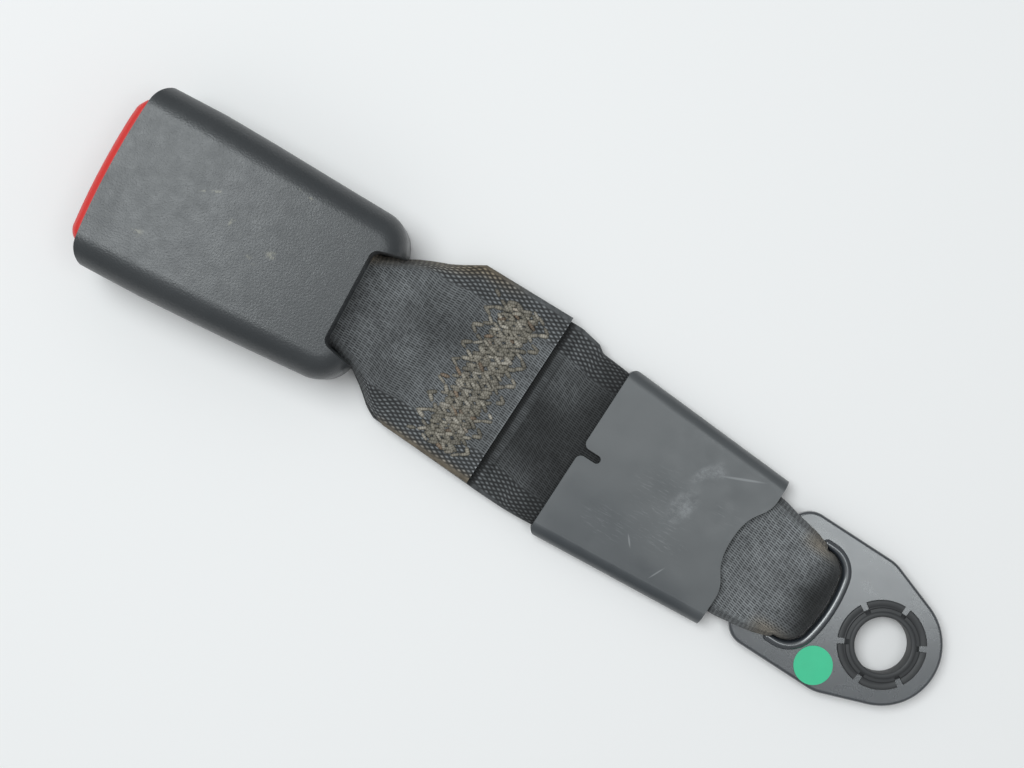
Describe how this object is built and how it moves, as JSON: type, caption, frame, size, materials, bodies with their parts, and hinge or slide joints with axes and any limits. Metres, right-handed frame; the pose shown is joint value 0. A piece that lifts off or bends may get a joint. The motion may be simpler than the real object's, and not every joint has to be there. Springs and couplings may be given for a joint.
{
  "type": "seat belt buckle",
  "caption": "Push-button seat belt buckle on a stitched webbing strap with a plastic sleeve and a steel anchor plate.",
  "frame": {"origin": "centre of the anchor plate's bolt hole, in the middle of the plate's thickness", "axes": "+Z along the bolt, up from the surface the part lies on; +X parallel to the buckle's long axis, from the anchor plate to the mouth of the buckle; +Y across"},
  "size_m": [0.2391, 0.055, 0.0257],
  "materials": {
    "housing": "fine leather-like grain, dark grey",
    "guide_plastic": "smooth moulded, black",
    "button": "satin moulded, red",
    "inner_plastic": "natural moulded acetal",
    "spring_steel": "drawn wire",
    "steel": "zinc plated, stamped",
    "webbing": "woven polyester, charcoal",
    "thread": "bonded thread, tan",
    "sleeve_plastic": "smooth moulded, mid grey, scuffed",
    "anchor_steel": "glossy black coat",
    "bush_plastic": "moulded, dark grey",
    "marker": "plain round paint mark, green"
  },
  "bodies": {
    "root": {"housing_upper": "housing", "housing_lower": "housing", "tongue_guide": "guide_plastic", "buckle_frame": "steel", "bar_liner": "inner_plastic", "latch_pin": "steel", "latch_spring": "spring_steel", "button_spring_left": "spring_steel", "button_spring_right": "spring_steel", "ejector_spring": "spring_steel", "webbing": "webbing", "stitching": "thread"},
    "button": {"release_button": "button", "button_carriage": "inner_plastic", "lock_pin": "steel"},
    "latch": {"latch": "steel"},
    "ejector": {"ejector": "inner_plastic"},
    "anchor": {"anchor_plate": "anchor_steel", "bolt_bush": "bush_plastic", "marker_dot": "marker"},
    "sleeve": {"sleeve": "sleeve_plastic"}
  },
  "joints": [
    {"name": "button_press", "type": "slide", "parent": "root", "child": "button", "axis": [-1, 0, 0], "range_m": [0, 0.005], "stiffness_N_per_m": 600, "springref_m": -0.004, "deforming": ["button_spring_left", "button_spring_right"]},
    {"name": "ejector_slide", "type": "slide", "parent": "root", "child": "ejector", "axis": [-1, 0, 0], "range_m": [0, 0.012], "stiffness_N_per_m": 300, "springref_m": -0.005, "deforming": ["ejector_spring"]},
    {"name": "latch_pivot", "type": "hinge", "parent": "root", "child": "latch", "pos_m": [0.17881, -0.01328, 0.01125], "axis": [0, 1, 0], "range_deg": [0, 16], "deforming": ["latch_spring"]},
    {"name": "anchor_swing", "type": "hinge", "parent": "root", "child": "anchor", "pos_m": [0.03162, -0.00258, 0], "axis": [0.0812, 0.9967, 0], "range_deg": [-20, 20]},
    {"name": "sleeve_slide", "type": "slide", "parent": "root", "child": "sleeve", "axis": [0.9967, -0.0812, 0], "range_m": [0, 0.008]}
  ],
  "couplings": [
    {"joint": "latch_pivot", "follows": "ejector_slide", "rad_per_m": 23.27}
  ]
}
